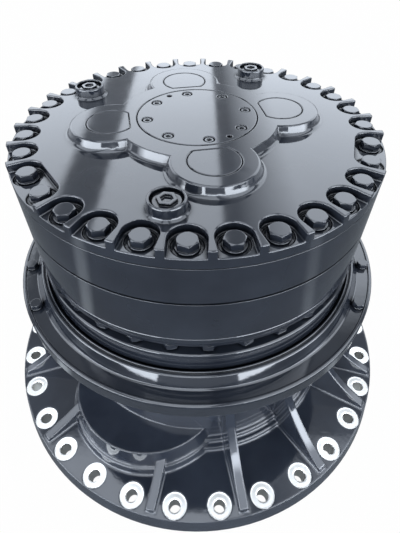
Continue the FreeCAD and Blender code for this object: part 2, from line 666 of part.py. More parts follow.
def cover_bolts():
    one = screw(BOLT_FLATS, BOLT_HEAD, WASHER_R, WASHER_THICKNESS, BOLT_R, COVER_BOLT_LENGTH)
    one.translate(FreeCAD.Vector(0, 0, BOLT_SEAT))
    return group([place(one, angle, BOLT_PITCH_R) for angle in bolt_angles()])


def hub_bolts():
    """Studs up into the ring gear, with nuts and washers that hold the hub's lip from below."""
    one = screw(BOLT_FLATS, HUB_NUT, WASHER_R, WASHER_THICKNESS, BOLT_R, HUB_STUD_LENGTH)
    nut_end = WASHER_THICKNESS + HUB_NUT
    one = join([one, disc(BOLT_R, nut_end, nut_end + HUB_STUD_END)])
    one.rotate(ORIGIN, FreeCAD.Vector(1, 0, 0), 180)
    one.translate(FreeCAD.Vector(0, 0, HUB_LIP_BOTTOM))
    return group([place(one, angle, HUB_BOLT_PITCH_R) for angle in bolt_angles(0.5)])


def trough_bolts():
    one = screw(TROUGH_BOLT_FLATS, TROUGH_BOLT_HEAD, TROUGH_WASHER_R, WASHER_THICKNESS,
                TROUGH_BOLT_R, TROUGH_BOLT_DEPTH)
    one.translate(FreeCAD.Vector(0, 0, TROUGH_FLOOR))
    return group([place(one, angle, TROUGH_BOLT_PITCH_R) for angle in TROUGH_BOLT_ANGLES])


def pins_1():
    return group([place(disc(PIN_1_R, PIN_1_BOTTOM, ISLAND_TOP - PIN_CAP_THICKNESS), angle, distance)
                  for angle, distance, _ in planets(STAGE_1)])


def pin_caps():
    return group([place(cap_shape(0.0, ISLAND_TOP - PIN_CAP_THICKNESS, ISLAND_TOP), angle, distance)
                  for angle, distance, _ in planets(STAGE_1)])


# Gear train

def input_shaft():
    """The shaft from the motor coupling up through both stages, with the first sun wheel on it."""
    sun = sun_wheel(STAGE_1, STAGE_1_BOTTOM, STAGE_1_TOP)
    return join([sun, disc(SHAFT_R, SHAFT_BOTTOM, STAGE_1_TOP)])


def input_coupling():
    """The splined sleeve on the shaft's foot that takes the motor's shaft from below."""
    bottom = SHAFT_BOTTOM - COUPLING_LENGTH / 2
    body = disc(COUPLING_R, bottom, bottom + COUPLING_LENGTH)
    body = body.cut(disc(SHAFT_R, SHAFT_BOTTOM, bottom + COUPLING_LENGTH + 1))
    module = 2 * COUPLING_BORE_R / COUPLING_TOOTH_COUNT
    radii = [COUPLING_BORE_R - module, COUPLING_BORE_R + module]
    bore = prism(tooth_outline(COUPLING_TOOTH_COUNT, module, radii, 0.0), bottom - 1, SHAFT_BOTTOM)
    return body.cut(bore)


def floating_ring():
    body = disc(RING_1_OUTER_R, FLANGE_1_TOP, STAGE_1_TOP + 2)
    teeth = ring_teeth(STAGE_1_RING_TEETH, STAGE_1_MODULE, FLANGE_1_TOP - 1, STAGE_1_TOP + 3)
    teeth.rotate(ORIGIN, AXIS, STAGE_1_START)
    return body.cut(teeth)


def drive_flange():
    body = ring(RING_1_OUTER_R, SUN_2_BORE_R, FLANGE_1_BOTTOM, FLANGE_1_TOP)
    window = disc(WINDOW_R, FLANGE_1_BOTTOM - 1, FLANGE_1_TOP + 1)
    windows = [place(window, 360 / WINDOW_COUNT * k, WINDOW_PITCH_R) for k in range(WINDOW_COUNT)]
    return body.cut(group(windows))


def sun_2():
    wheel = sun_wheel(STAGE_2, STAGE_2_BOTTOM - 4, FLANGE_1_BOTTOM)
    return wheel.cut(disc(SUN_2_BORE_R, STAGE_2_BOTTOM - 5, FLANGE_1_BOTTOM + 1))


def save_planets(label, stage, pin_r, bottom, top):
    """One wheel and one bush for each station of a stage."""
    module, teeth = stage[2], stage[4]
    bore_r = pin_r + BUSH_WALL
    wheel = outer_gear(teeth, module, bottom, top).cut(disc(bore_r, bottom - 1, top + 1))
    bush = ring(bore_r, pin_r + BUSH_CLEARANCE, bottom, top)
    for number, (angle, distance, turn) in enumerate(planets(stage), 1):
        save("planet_gear_" + label + "_" + str(number), seat_planet(wheel, angle, distance, turn))
        save("planet_bush_" + label + "_" + str(number), place(bush, angle, distance))


save("base_housing", base_housing())
save("spindle", spindle())
for height, label, up in ((LOWER_BEARING_Z, "lower", False), (UPPER_BEARING_Z, "upper", True)):
    save(label + "_bearing_inner_ring", bearing(height, "inner", up))
    save(label + "_bearing_outer_ring", bearing(height, "outer", up))
    save(label + "_bearing_rollers", roller_ring(height, up))
save("planet_carrier_stage_2", planet_carrier())
save("planet_pins_stage_2", pins_2())
save("thrust_washers_stage_2",
     collars(STAGE_2, PIN_2_R, THRUST_WALL, CARRIER_TOP, STAGE_2_BOTTOM - SIDE_PLAY))
save("retaining_rings_stage_2", collars(STAGE_2, PIN_2_R, RETAINER_WALL, STAGE_2_TOP + SIDE_PLAY, PIN_2_TOP))
save("bearing_nut", ring(NUT_R, SPINDLE_R, UPPER_BEARING_Z + BEARING_HEIGHT, CARRIER_BOTTOM))
save("face_seal_lower", seal(False))
save("face_seal_upper", seal(True))
save("sprocket_hub", sprocket_hub())
save("ring_gear_casing", lower_casing())
save("upper_casing", upper_casing())
save("end_cover", end_cover())
save("centre_plate", centre_plate())
save("centre_plate_screws", centre_plate_screws())
save("oil_plugs", oil_plugs())
save("cover_bolts", cover_bolts())
save("hub_bolts", hub_bolts())
save("trough_bolts", trough_bolts())
save("planet_pins_stage_1", pins_1())
save("pin_caps", pin_caps())
save("thrust_washers_stage_1",
     collars(STAGE_1, PIN_1_R, THRUST_WALL, STAGE_1_TOP + SIDE_PLAY, UPPER_CASING_TOP))
save("retaining_rings_stage_1",
     collars(STAGE_1, PIN_1_R, RETAINER_WALL, PIN_1_BOTTOM, STAGE_1_BOTTOM - SIDE_PLAY))
save("input_shaft", input_shaft())
save("input_coupling", input_coupling())
save("floating_ring_gear", floating_ring())
save("drive_flange", drive_flange())
save("sun_gear_stage_2", sun_2())
save_planets("stage_1", STAGE_1, PIN_1_R, STAGE_1_BOTTOM, STAGE_1_TOP)
save_planets("stage_2", STAGE_2, PIN_2_R, STAGE_2_BOTTOM, STAGE_2_TOP)
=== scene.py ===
# %% [markdown]
# # A final drive in glossy slate paint
# A final drive is the gearbox that turns one track of a crawler machine. This script takes its solid
# pieces from the CAD frame, gives them rounded edges and paint, and lights them as a product picture.
# Everything is in metres, with the main axis at x = y = 0, the floor at z = 0 and the front at -Y.

# %% Load the frame
import json
import math
import random

import bmesh
import bpy
from mathutils import Matrix, Vector
from mathutils.kdtree import KDTree


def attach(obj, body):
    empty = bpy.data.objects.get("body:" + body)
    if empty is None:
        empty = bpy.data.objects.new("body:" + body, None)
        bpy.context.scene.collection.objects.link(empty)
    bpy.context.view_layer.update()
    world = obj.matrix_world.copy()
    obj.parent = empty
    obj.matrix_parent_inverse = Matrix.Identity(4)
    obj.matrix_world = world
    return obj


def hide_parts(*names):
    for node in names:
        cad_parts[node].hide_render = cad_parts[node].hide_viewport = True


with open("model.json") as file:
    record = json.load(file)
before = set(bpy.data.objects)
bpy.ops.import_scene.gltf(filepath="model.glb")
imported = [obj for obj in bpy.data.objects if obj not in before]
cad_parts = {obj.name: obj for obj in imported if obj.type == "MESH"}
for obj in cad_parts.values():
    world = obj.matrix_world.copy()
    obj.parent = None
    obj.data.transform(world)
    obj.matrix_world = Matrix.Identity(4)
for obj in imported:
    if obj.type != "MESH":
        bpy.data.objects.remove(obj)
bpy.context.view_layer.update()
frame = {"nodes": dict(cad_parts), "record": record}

MM = 0.001
nodes = frame["nodes"]
record = frame["record"]
print("nodes:", len(nodes))

# %% [markdown]
# ## Who carries what
# Every piece that is made here has to move with the body that its CAD node belongs to, and it takes
# its finish from the same slot. Two look-up tables from the record say both, so no name is typed twice.

# %% Look-up tables
body_of = {node: body for body, members in record["behaviour"]["bodies"].items() for node in members}
slot_of = {part["node"]: part["material_slot"] for part in record["subparts"]}
print("bodies:", len(set(body_of.values())))

# %% [markdown]
# ## The camera
# The photograph was taken from close above with a wide lens, so the cover looks large and the base
# small. The focal length comes from the ring of cover screws, which is a true circle on the real part.
# A long side of 533 pixels at a focal length of 400 pixels is the lens below on a 36 mm sensor.

# %% Camera
IMAGE_LONG = 533
FOCAL_PIXELS = 400.0
DROP_PIXELS = 20.1
SENSOR = 36.0
PITCH = math.radians(44.10)
YAW = math.radians(0.49)
ROLL = math.radians(0.19)
CAMERA_PLACE = Vector((0.0, -0.7107, 1.0793))
NEAREST_SEEN = 0.01

camera_data = bpy.data.cameras.new("camera")
camera_data.sensor_width = SENSOR
camera_data.lens = SENSOR * FOCAL_PIXELS / IMAGE_LONG
camera_data.shift_y = -DROP_PIXELS / IMAGE_LONG
camera_data.clip_start = NEAREST_SEEN
camera = bpy.data.objects.new("camera", camera_data)
bpy.context.collection.objects.link(camera)
aim = Vector((math.sin(YAW) * math.cos(PITCH), math.cos(YAW) * math.cos(PITCH), -math.sin(PITCH)))
stance = aim.to_track_quat("-Z", "Y").to_matrix().to_4x4() @ Matrix.Rotation(ROLL, 4, "Z")
camera.matrix_world = Matrix.Translation(CAMERA_PLACE) @ stance
bpy.context.scene.camera = camera
print("lens:", round(camera_data.lens, 2), "mm")

# %% [markdown]
# ## Formulas in place of wires
# A shader formula drawn as nodes is hard to read. The small class below wraps a socket and overloads
# the arithmetic signs, so that a distance or a mask is written as it would be on paper.

# %% Sockets that do arithmetic
class Ink:
    def __init__(self, tree, socket):
        self.tree = tree
        self.socket = socket

    def math(self, operation, *others):
        return self.tree.math(operation, self, *others)

    def __add__(self, other):
        return self.math("ADD", other)

    def __sub__(self, other):
        return self.math("SUBTRACT", other)

    def __rsub__(self, other):
        return self.tree.math("SUBTRACT", other, self)

    def __mul__(self, other):
        return self.math("MULTIPLY", other)

    def __truediv__(self, other):
        return self.math("DIVIDE", other)

    def __lt__(self, other):
        return self.math("LESS_THAN", other)

    def __gt__(self, other):
        return self.math("GREATER_THAN", other)

    __radd__ = __add__
    __rmul__ = __mul__


print("a socket can be added, subtracted, multiplied, divided and compared")

# %% [markdown]
# ## One method for every node
# Every node comes from one method, which takes the node's settings first and then its inputs. The
# few that are used again and again get a short name, such as a blend of two colours, and a fade,
# which turns one range of numbers into another.

# %% Node tree
class Tree:
    def __init__(self, tree):
        self.tree = tree

    def node(self, kind, settings=None, inputs=None, output=0):
        made = self.tree.nodes.new(kind)
        for key, value in (settings or {}).items():
            setattr(made, key, value)
        for key, value in (inputs or {}).items():
            self.feed(made.inputs[key], value)
        return Ink(self, made.outputs[output])

    def feed(self, socket, value):
        if isinstance(value, Ink):
            self.tree.links.new(value.socket, socket)
        else:
            socket.default_value = value

    def math(self, operation, *terms):
        return self.node("ShaderNodeMath", {"operation": operation}, dict(enumerate(terms)))

    def part(self, vector, axis):
        return self.node("ShaderNodeSeparateXYZ", inputs={0: vector}, output=axis)

    def blend(self, mask, first, second):
        return self.node("ShaderNodeMix", {"data_type": "RGBA"}, {0: mask, 6: first, 7: second}, output=2)

    def fade(self, value, low, high, start, end):
        return self.node("ShaderNodeMapRange", {"clamp": True},
                         {0: value, 1: low, 2: high, 3: start, 4: end})

    def ray(self, kind):
        """1 for the rays of one kind: Is Camera Ray or Is Glossy Ray."""
        return self.node("ShaderNodeLightPath", output=kind)


print("helpers of a tree:", len([name for name in vars(Tree) if not name.startswith("_")]))

# %% [markdown]
# ## A finish
# A material is a node tree with a main shader and an output. The noises that paint and metal are made
# of read the object's own coordinates, so a finish stays on its piece when the piece turns. Two nodes
# know the shape round a point: one says how open the surface is there, which sets where painted shade
# goes in a groove, and the other rounds the normal near an edge, as thick paint does.

# %% Finish
NOISE_CORE = (0.35, 0.65)
NOISE_SPREAD = (0.3, 0.7)
OPENNESS_SAMPLES = 8
FILLET_SAMPLES = 6


class Finish(Tree):
    def __init__(self, name):
        self.material = bpy.data.materials.new(name)
        self.material.use_nodes = True
        super().__init__(self.material.node_tree)
        self.shader = self.tree.nodes["Principled BSDF"]

    def paint(self, **values):
        for key, value in values.items():
            self.feed(self.shader.inputs[key.replace("_", " ").title()], value)

    def fed(self, name):
        """What already feeds an input of the shader."""
        return Ink(self, self.shader.inputs[name].links[0].from_socket)

    def surface(self, shader):
        self.feed(self.tree.nodes["Material Output"].inputs["Surface"], shader)

    def here(self):
        return self.node("ShaderNodeTexCoord", output="Object")

    def noise(self, scale, detail=3.0):
        place = {"Vector": self.here(), "Scale": scale, "Detail": detail}
        return self.node("ShaderNodeTexNoise", inputs=place)

    def cloud(self, scale):
        """A noise with more contrast, from 0 to 1."""
        return self.fade(self.noise(scale), *NOISE_CORE, 0.0, 1.0)

    def sheen(self, scale, smooth, dull):
        """A roughness that drifts between two values."""
        return self.fade(self.noise(scale), *NOISE_SPREAD, smooth, dull)

    def openness(self, reach):
        """1 on an open surface, less in a groove or a corner narrower than reach."""
        return self.node("ShaderNodeAmbientOcclusion", {"samples": OPENNESS_SAMPLES},
                         {"Distance": reach}, output="AO")

    def dent(self, height, distance, fillet=0.0):
        """The surface's normal with height pressed into it and its corners filled to a radius."""
        filled = self.node("ShaderNodeBevel", {"samples": FILLET_SAMPLES}, {"Radius": fillet})
        pressed = {"Height": height, "Distance": distance, "Normal": filled}
        return self.node("ShaderNodeBump", inputs=pressed)


print("helpers of a finish:", len([name for name in vars(Finish) if not name.startswith("_")]))

# %% [markdown]
# ## The paint
# The whole drive is sprayed in one dark slate enamel with a hard gloss, so its colour shows only in
# the shade, and everywhere else the surface is a mirror of the room. Thick paint runs into corners
# and rounds them, which a filled normal imitates, and sprayed enamel is never quite flat, so a fine
# noise gives it orange peel and a wider one the sand mould under it. In a narrow groove the gloss
# gives way to matt black, which is painted shade standing in for the shadow there.

# %% Slate enamel
SLATE_DARK = (0.022, 0.026, 0.036)
SLATE_LIGHT = (0.033, 0.039, 0.052)
# painted shade: the matt near-black that a groove or corner gets in place of the gloss
PAINTED_CREASE_SHADE = (0.004, 0.005, 0.007, 1.0)
GLOSS_IOR = 1.6
SMOOTHEST = 0.05
DULLEST = 0.08
DRIFT_SCALE = 9.0
SHEEN_SCALE = 35.0
PEEL_SCALE = 420.0
SAND_SCALE = 60.0
PAINT_DEPTH = 1 * MM
CREASE_REACH = 14 * MM
CREASE = (0.30, 0.75)
OPEN_CREASE = (0.15, 0.45)
FINE_CREASE = (0.45, 0.90)


# Painted light: a colour made brighter by a factor, to light up a slate that lies in shade.
def painted_brighter(colour, painted_light):
    return (*(level * painted_light for level in colour), 1.0)


def enamel(name, peel, sand, fillet, crease=CREASE, painted_light=1.0):
    """crease holds the openness at which the gloss is gone into painted shade and whole; the last
    argument brightens the slate as painted light.
    """
    finish = Finish(name)
    finish.shader.inputs["IOR"].default_value = GLOSS_IOR
    slate = finish.blend(finish.cloud(DRIFT_SCALE), painted_brighter(SLATE_DARK, painted_light), painted_brighter(SLATE_LIGHT, painted_light))
    height = finish.noise(PEEL_SCALE, detail=1.0) * peel + finish.noise(SAND_SCALE, detail=4.0) * sand
    finish.paint(base_color=slate,
                 roughness=finish.sheen(SHEEN_SCALE, SMOOTHEST, DULLEST),
                 normal=finish.dent(height, PAINT_DEPTH, fillet))
    # Painted shade: where the surface is closed in, the gloss is mixed into matt near-black.
    open_face = finish.fade(finish.openness(CREASE_REACH), *crease, 0.0, 1.0)
    painted_shade = finish.node("ShaderNodeBsdfDiffuse", inputs={"Color": PAINTED_CREASE_SHADE})
    gloss = Ink(finish, finish.shader.outputs[0])
    finish.surface(finish.node("ShaderNodeMixShader", inputs={0: open_face, 1: painted_shade, 2: gloss}))
    return finish


paints = {
    "housing_paint": enamel("slate_enamel_on_casting", peel=0.006, sand=0.08, fillet=1 * MM),
    "cover_paint": enamel("slate_enamel_on_machined_face", peel=0.004, sand=0.02, fillet=1.5 * MM,
                          crease=FINE_CREASE),
    "fastener_paint": enamel("slate_enamel_on_fasteners", peel=0.004, sand=0.04, fillet=1 * MM),
}
print("paints:", len(paints))

# %% [markdown]
# ## Bare steel on the base
# The seats round the thirty base holes are cut after painting, so they are bright steel. They are not
# a piece of their own but a change of finish on the casting. The formula folds the circle into one
# sector per hole and measures the distance to that hole's centre.

# %% Base paint with bare seats
BASE_HOLES = 30
HOLE_PITCH_R = 477 * MM
HOLE_R = 13 * MM
SEAT_R = 27 * MM
FIRST_HOLE = math.radians(5.7)
FLANGE_TOP = 50 * MM
SEAT_DEPTH = 3 * MM
WALL_MARGIN = 0.5 * MM
FOOT_MARGIN = 0.2 * MM
BARE_STEEL = (0.70, 0.69, 0.66, 1.0)
CUT_ROUGHNESS = 0.34
CUT_CHANGE = 0.05
CUTTER_FEED = 0.8 * MM

# The base slate is painted 1.7 times lighter: painted light that makes up for the hub's shade over the
# base.
base_paint = enamel("slate_enamel_with_bare_seats", peel=0.006, sand=0.10, fillet=6 * MM,
                    crease=OPEN_CREASE, painted_light=1.7)
x, y, z = (base_paint.part(base_paint.here(), axis) for axis in "XYZ")
radius = (x * x + y * y).math("SQRT")
turn = x.math("ARCTAN2", y * -1.0) - FIRST_HOLE
folded = turn.math("WRAP", math.pi / BASE_HOLES, -math.pi / BASE_HOLES)
across = radius * folded.math("SINE")
outward = radius * folded.math("COSINE") - HOLE_PITCH_R
distance = (across * across + outward * outward).math("SQRT")
seat = (distance < SEAT_R) * (z > FLANGE_TOP - SEAT_DEPTH)
wall = distance < HOLE_R + WALL_MARGIN
foot = z < FOOT_MARGIN
bare = seat.math("MAXIMUM", wall).math("MAXIMUM", foot)
cutter_marks = (distance * (2 * math.pi / CUTTER_FEED)).math("SINE")
cut = cutter_marks * CUT_CHANGE + CUT_ROUGHNESS
base_paint.paint(base_color=base_paint.blend(bare, base_paint.fed("Base Color"), BARE_STEEL),
                 roughness=base_paint.fed("Roughness") * (1.0 - bare) + bare * cut,
                 metallic=bare)
print("bare seats:", BASE_HOLES)

# %% [markdown]
# ## The metals inside
# Gears, bearings and bushes show only if the drive is taken apart, but each has its own finish: oiled
# ground steel, lapped bearing steel, bronze, and the raw machined casting of the planet carrier.

# %% Inner metals
GRAIN_DEPTH = 0.2 * MM
SHEEN_FINER = 6
GRAIN_FINER = 20


def bare_metal(name, colour, deeper, smooth, dull, scale):
    finish = Finish(name)
    finish.paint(base_color=finish.blend(finish.cloud(scale), colour, deeper),
                 roughness=finish.sheen(scale * SHEEN_FINER, smooth, dull),
                 metallic=1.0,
                 normal=finish.dent(finish.noise(scale * GRAIN_FINER), GRAIN_DEPTH))
    return finish


metals = {
    "gear_steel": bare_metal("oiled_gear_steel", (0.42, 0.41, 0.40, 1), (0.30, 0.29, 0.27, 1),
                             smooth=0.22, dull=0.36, scale=20.0),
    "bearing_steel": bare_metal("lapped_bearing_steel", (0.62, 0.62, 0.63, 1), (0.52, 0.52, 0.53, 1),
                                smooth=0.10, dull=0.20, scale=15.0),
    "bronze": bare_metal("machined_bronze", (0.55, 0.36, 0.16, 1), (0.42, 0.27, 0.12, 1),
                         smooth=0.25, dull=0.40, scale=25.0),
    "cast_iron": bare_metal("machined_cast_iron", (0.22, 0.21, 0.20, 1), (0.15, 0.145, 0.14, 1),
                            smooth=0.40, dull=0.60, scale=30.0),
}
print("metals:", len(metals))

# %% [markdown]
# ## Which piece gets which finish
# The record names a slot for each node. Each slot has one finish, and only the base casting has its
# own, because of its bare seats.

# %% Finish every node
finishes = {**paints, **metals}
for name, item in nodes.items():
    finish = base_paint if name == "base_housing" else finishes[slot_of[name]]
    item.data.materials.clear()
    item.data.materials.append(finish.material)
print("finished nodes:", len(nodes))

# %% [markdown]
# ## Rounded edges
# No real edge is sharp: castings have a radius and machined faces a small chamfer, and the paint
# rounds both again. Those edges catch the light as thin bright lines, which is most of what makes a
# painted casting look real. One width for a whole piece would be wider than its smallest steps, so
# each sharp edge first looks across its two faces for the next sharp edge, to see how much room it has.

# %% Room in front of an edge
SHARP = math.radians(32)
LOOK_EVERY = 8 * MM
MARK_EVERY = 2 * MM
SAME_PLANE = 0.3 * MM
SAME_LINE = 0.4 * MM


def places_on(edge, spacing):
    start, end = edge.verts[0].co, edge.verts[1].co
    count = max(1, math.ceil((end - start).length / spacing))
    return [start.lerp(end, (k + 0.5) / count) for k in range(count)]


def direction_of(edge):
    return (edge.verts[1].co - edge.verts[0].co).normalized()


def room_in_front(edge, face, marks, reach):
    """The distance, up to reach, from the edge across the face to the next sharp edge."""
    run = direction_of(edge)
    loop = next(corner for corner in face.loops if corner.edge == edge)
    inward = face.normal.cross((loop.link_loop_next.vert.co - loop.vert.co).normalized())
    nearest = reach
    for place in places_on(edge, LOOK_EVERY):
        for point, _, _ in marks.find_range(place, reach):
            offset = point - place
            ahead = offset.dot(inward)
            aside = abs(offset.dot(run))
            on_face = abs(offset.dot(face.normal)) < SAME_PLANE and aside < MARK_EVERY
            if on_face and ahead > max(aside, SAME_LINE) / 2:
                nearest = min(nearest, ahead)
    return nearest


print("an edge looks ahead every", round(LOOK_EVERY / MM), "mm")

# %% [markdown]
# ## One width along a run of edges
# A curve is made of many short edges, and they must all be rounded alike, or the rounding steps and
# folds over itself. So edges that run on into each other get the width of the narrowest one. The
# edges of the base holes stay fine, because those holes are drilled after casting.

# %% Width of each edge
SHARE = 0.45
STRAIGHT = math.cos(math.radians(25))
DRILLED_EDGE = 0.6 * MM
SEAT_MARGIN = 1 * MM


def smooth_chains(sharp):
    """Sharp edges that run on into each other without a corner, as one list per chain."""
    left = set(sharp)
    while left:
        chain = [left.pop()]
        for edge in chain:
            for other in {near for end in edge.verts for near in end.link_edges} & left:
                if abs(direction_of(edge).dot(direction_of(other))) > STRAIGHT:
                    left.remove(other)
                    chain.append(other)
        yield chain


def is_drilled(place):
    """True beside one of the base holes, which are drilled and spot-faced after casting."""
    turn = math.atan2(place.x, -place.y) - FIRST_HOLE
    sector = 2 * math.pi / BASE_HOLES
    from_hole = turn - sector * round(turn / sector)
    return math.hypot(place.xy.length * math.cos(from_hole) - HOLE_PITCH_R,
                      place.xy.length * math.sin(from_hole)) < SEAT_R + SEAT_MARGIN


def weigh_edges(made, width):
    """Writes the width of each sharp edge as a share of the widest."""
    weight = made.edges.layers.float.new("bevel_weight_edge")
    sharp = [edge for edge in made.edges if len(edge.link_faces) == 2 and edge.calc_face_angle() > SHARP]
    spots = [place for edge in sharp for place in places_on(edge, MARK_EVERY)]
    marks = KDTree(len(spots))
    for index, place in enumerate(spots):
        marks.insert(place, index)
    marks.balance()
    room = {edge: min(room_in_front(edge, face, marks, width / SHARE) for face in edge.link_faces)
            for edge in sharp}
    for chain in smooth_chains(sharp):
        narrow = min(room[edge] for edge in chain) * SHARE
        if is_drilled(chain[0].verts[0].co):
            narrow = min(narrow, DRILLED_EDGE)
        for edge in chain:
            edge[weight] = narrow / width


print("a rounding takes at most", SHARE, "of the room in front")

# %% [markdown]
# ## A rounded copy of each outer node
# The node itself stays as the CAD made it. A copy of its loose triangles is merged, and its flat
# faces are dissolved into one face each, so that only true edges are left for the Bevel modifier.

# %% Round off the outer nodes
MERGE = 0.005 * MM
FLAT = math.radians(0.5)
ROUNDING_IN_MM = {
    "end_cover": 2.0, "centre_plate": 1.5, "pin_caps": 1.5, "upper_casing": 0.5, "ring_gear_casing": 0.5,
    "sprocket_hub": 2.4, "base_housing": 4.0, "oil_plugs": 0.8, "centre_plate_screws": 0.8,
}


def add_modifier(piece, name, kind, **settings):
    modifier = piece.modifiers.new(name, kind)
    for key, value in settings.items():
        setattr(modifier, key, value)


def stand_for(piece, node):
    """Gives the piece its node's finish, and hides the node."""
    piece.data.materials.append(nodes[node].data.materials[0])
    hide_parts(node)
    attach(piece, body_of[node])


def rounded_copy(name, width):
    made = bmesh.new()
    made.from_mesh(nodes[name].data)
    bmesh.ops.remove_doubles(made, verts=made.verts, dist=MERGE)
    bmesh.ops.dissolve_limit(made, angle_limit=FLAT, verts=made.verts, edges=made.edges)
    weigh_edges(made, width)
    mesh = bpy.data.meshes.new("rounded_" + name)
    made.to_mesh(mesh)
    made.free()
    piece = bpy.data.objects.new("rounded_" + name, mesh)
    bpy.context.collection.objects.link(piece)
    mesh.polygons.foreach_set("use_smooth", [len(face.vertices) <= 4 for face in mesh.polygons])
    mesh.set_sharp_from_angle(angle=SHARP)
    add_modifier(piece, "edge_round", "BEVEL", width=width, segments=2, limit_method="WEIGHT",
                 use_clamp_overlap=False, loop_slide=False, harden_normals=True)
    add_modifier(piece, "flat_faces_stay_flat", "WEIGHTED_NORMAL", mode="FACE_AREA", weight=100,
                 keep_sharp=True)
    stand_for(piece, name)
    print(piece.name, len(mesh.polygons), "faces")


for name, width in ROUNDING_IN_MM.items():
    rounded_copy(name, width * MM)

# %% [markdown]
# ## Cover screws
# A forged hexagon head isn't a plain prism: its top is turned to a cone, so each flat ends in a
# shallow arch, and that arch is what the eye reads as a screw. The head starts as a circle of many
# points, each pushed out to the hexagon. Its top rim then drops by the slope of the cone.

# %% Screw head
HEAD_POINTS = 36
CONE = math.radians(26)
CROWN_SHARE = 0.96
WASHER_CHAMFER = 0.2
HEAD_MERGE = 0.01 * MM
SIXTH = math.pi / 3


def screw_head(flats, height, washer_r, washer, turn):
    """A bmesh of one head and its washer, standing on height 0."""
    made = bmesh.new()
    half = flats / 2
    crown_r = half * CROWN_SHARE
    shell = bmesh.ops.create_circle(made, segments=HEAD_POINTS, radius=half)["verts"]
    for corner in shell:
        angle = math.atan2(corner.co.y, corner.co.x)
        from_flat = (angle + SIXTH / 2) % SIXTH - SIXTH / 2
        corner.co *= 1 / math.cos(from_flat)
        corner.co.z = washer
    rise = bmesh.ops.extrude_edge_only(made, edges=made.edges[:])["geom"]
    rim = [v for v in rise if isinstance(v, bmesh.types.BMVert)]
    for corner in rim:
        corner.co.z = washer + height - (corner.co.xy.length - crown_r) * math.tan(CONE)
    ridge = [e for e in rise if isinstance(e, bmesh.types.BMEdge)]
    crown = bmesh.ops.extrude_edge_only(made, edges=ridge)["geom"]
    top = [v for v in crown if isinstance(v, bmesh.types.BMVert)]
    for corner in top:
        corner.co.xy = corner.co.xy.normalized() * crown_r
        corner.co.z = washer + height
    bmesh.ops.contextual_create(made, geom=[e for e in crown if isinstance(e, bmesh.types.BMEdge)])
    bmesh.ops.rotate(made, verts=made.verts, cent=(0, 0, 0), matrix=Matrix.Rotation(turn, 3, "Z"))
    chamfer = washer * WASHER_CHAMFER
    profile = [(0.0, 0.0), (washer_r, 0.0), (washer_r, washer - chamfer), (washer_r - chamfer, washer),
               (0.0, washer)]
    line = [made.verts.new((r, 0, h)) for r, h in profile]
    edges = [made.edges.new(pair) for pair in zip(line, line[1:])]
    bmesh.ops.spin(made, geom=line + edges, axis=(0, 0, 1), cent=(0, 0, 0), angle=2 * math.pi,
                   steps=HEAD_POINTS, use_merge=True)
    bmesh.ops.remove_doubles(made, verts=made.verts, dist=HEAD_MERGE)
    bmesh.ops.recalc_face_normals(made, faces=made.faces)
    return made


print("points round a head:", HEAD_POINTS)

# %% [markdown]
# ## Rings of screws
# The heads of one ring are one piece, as in the CAD. Nobody lines up the flats of screws when they
# are tightened, so each head gets its own small turn from a seeded generator, the same in each run.

# %% A ring of heads
HEAD_CORNER = math.radians(20)
HEAD_EDGE = 0.7 * MM
UPSIDE_DOWN = Matrix.Rotation(math.pi, 3, "X")
chance = random.Random(7)


def screw_ring(node, spots, flats, height, washer_r, washer, inverted=False):
    """spots are (angle, distance, height) of each head."""
    whole = bmesh.new()
    for angle, distance, level in spots:
        head = screw_head(flats, height, washer_r, washer, chance.uniform(0, SIXTH))
        if inverted:
            bmesh.ops.rotate(head, verts=head.verts, cent=(0, 0, 0), matrix=UPSIDE_DOWN)
        shift = Vector((distance * math.sin(angle), -distance * math.cos(angle), level))
        bmesh.ops.translate(head, verts=head.verts, vec=shift)
        part = bpy.data.meshes.new("one_head")
        head.to_mesh(part)
        head.free()
        whole.from_mesh(part)
        bpy.data.meshes.remove(part)
    mesh = bpy.data.meshes.new("forged_" + node)
    whole.to_mesh(mesh)
    whole.free()
    piece = bpy.data.objects.new("forged_" + node, mesh)
    bpy.context.collection.objects.link(piece)
    mesh.shade_smooth()
    mesh.set_sharp_from_angle(angle=HEAD_CORNER)
    add_modifier(piece, "edge_round", "BEVEL", width=HEAD_EDGE, segments=2, limit_method="ANGLE",
                 angle_limit=HEAD_CORNER, harden_normals=True)
    stand_for(piece, node)
    print(piece.name, len(spots), "heads")


# %% Place the screws
SCREW_COUNT = 31
FIRST_SCREW = math.radians(-14.1)
STEP = 2 * math.pi / SCREW_COUNT
WASHER = 3 * MM
M20_FLATS = 30 * MM
M20_WASHER_R = 18.5 * MM
COVER_SCREW_R = 320 * MM
COVER_SEAT = 699 * MM
COVER_HEAD = 12.5 * MM
HUB_STUD_R = 324.5 * MM
HUB_LIP = 485 * MM
HUB_NUT = 16 * MM
TROUGH_SCREWS = (-79.0, -61.0, 61.0, 79.0)
TROUGH_SCREW_R = 389 * MM
TROUGH_FLOOR = 397.5 * MM
TROUGH_FLATS = 22 * MM
TROUGH_HEAD = 10 * MM
TROUGH_WASHER_R = 12.5 * MM

cover_spots = [(FIRST_SCREW + STEP * k, COVER_SCREW_R, COVER_SEAT) for k in range(SCREW_COUNT)]
hub_spots = [(FIRST_SCREW + STEP * (k + 0.5), HUB_STUD_R, HUB_LIP) for k in range(SCREW_COUNT)]
trough_spots = [(math.radians(angle), TROUGH_SCREW_R, TROUGH_FLOOR) for angle in TROUGH_SCREWS]
screw_ring("cover_bolts", cover_spots, M20_FLATS, COVER_HEAD, M20_WASHER_R, WASHER)
screw_ring("hub_bolts", hub_spots, M20_FLATS, HUB_NUT, M20_WASHER_R, WASHER, inverted=True)
screw_ring("trough_bolts", trough_spots, TROUGH_FLATS, TROUGH_HEAD, TROUGH_WASHER_R, WASHER)

# %% [markdown]
# ## The floor of the workshop
# A mirror finish shows the room more than its own colour, so the room has to be made too. The
# picture's ground is cut out to white, so the camera sees a white floor, which keeps only a trace of
# the drive's shadow. The paint mirrors a dim one, with a path of daylight on it at each side.

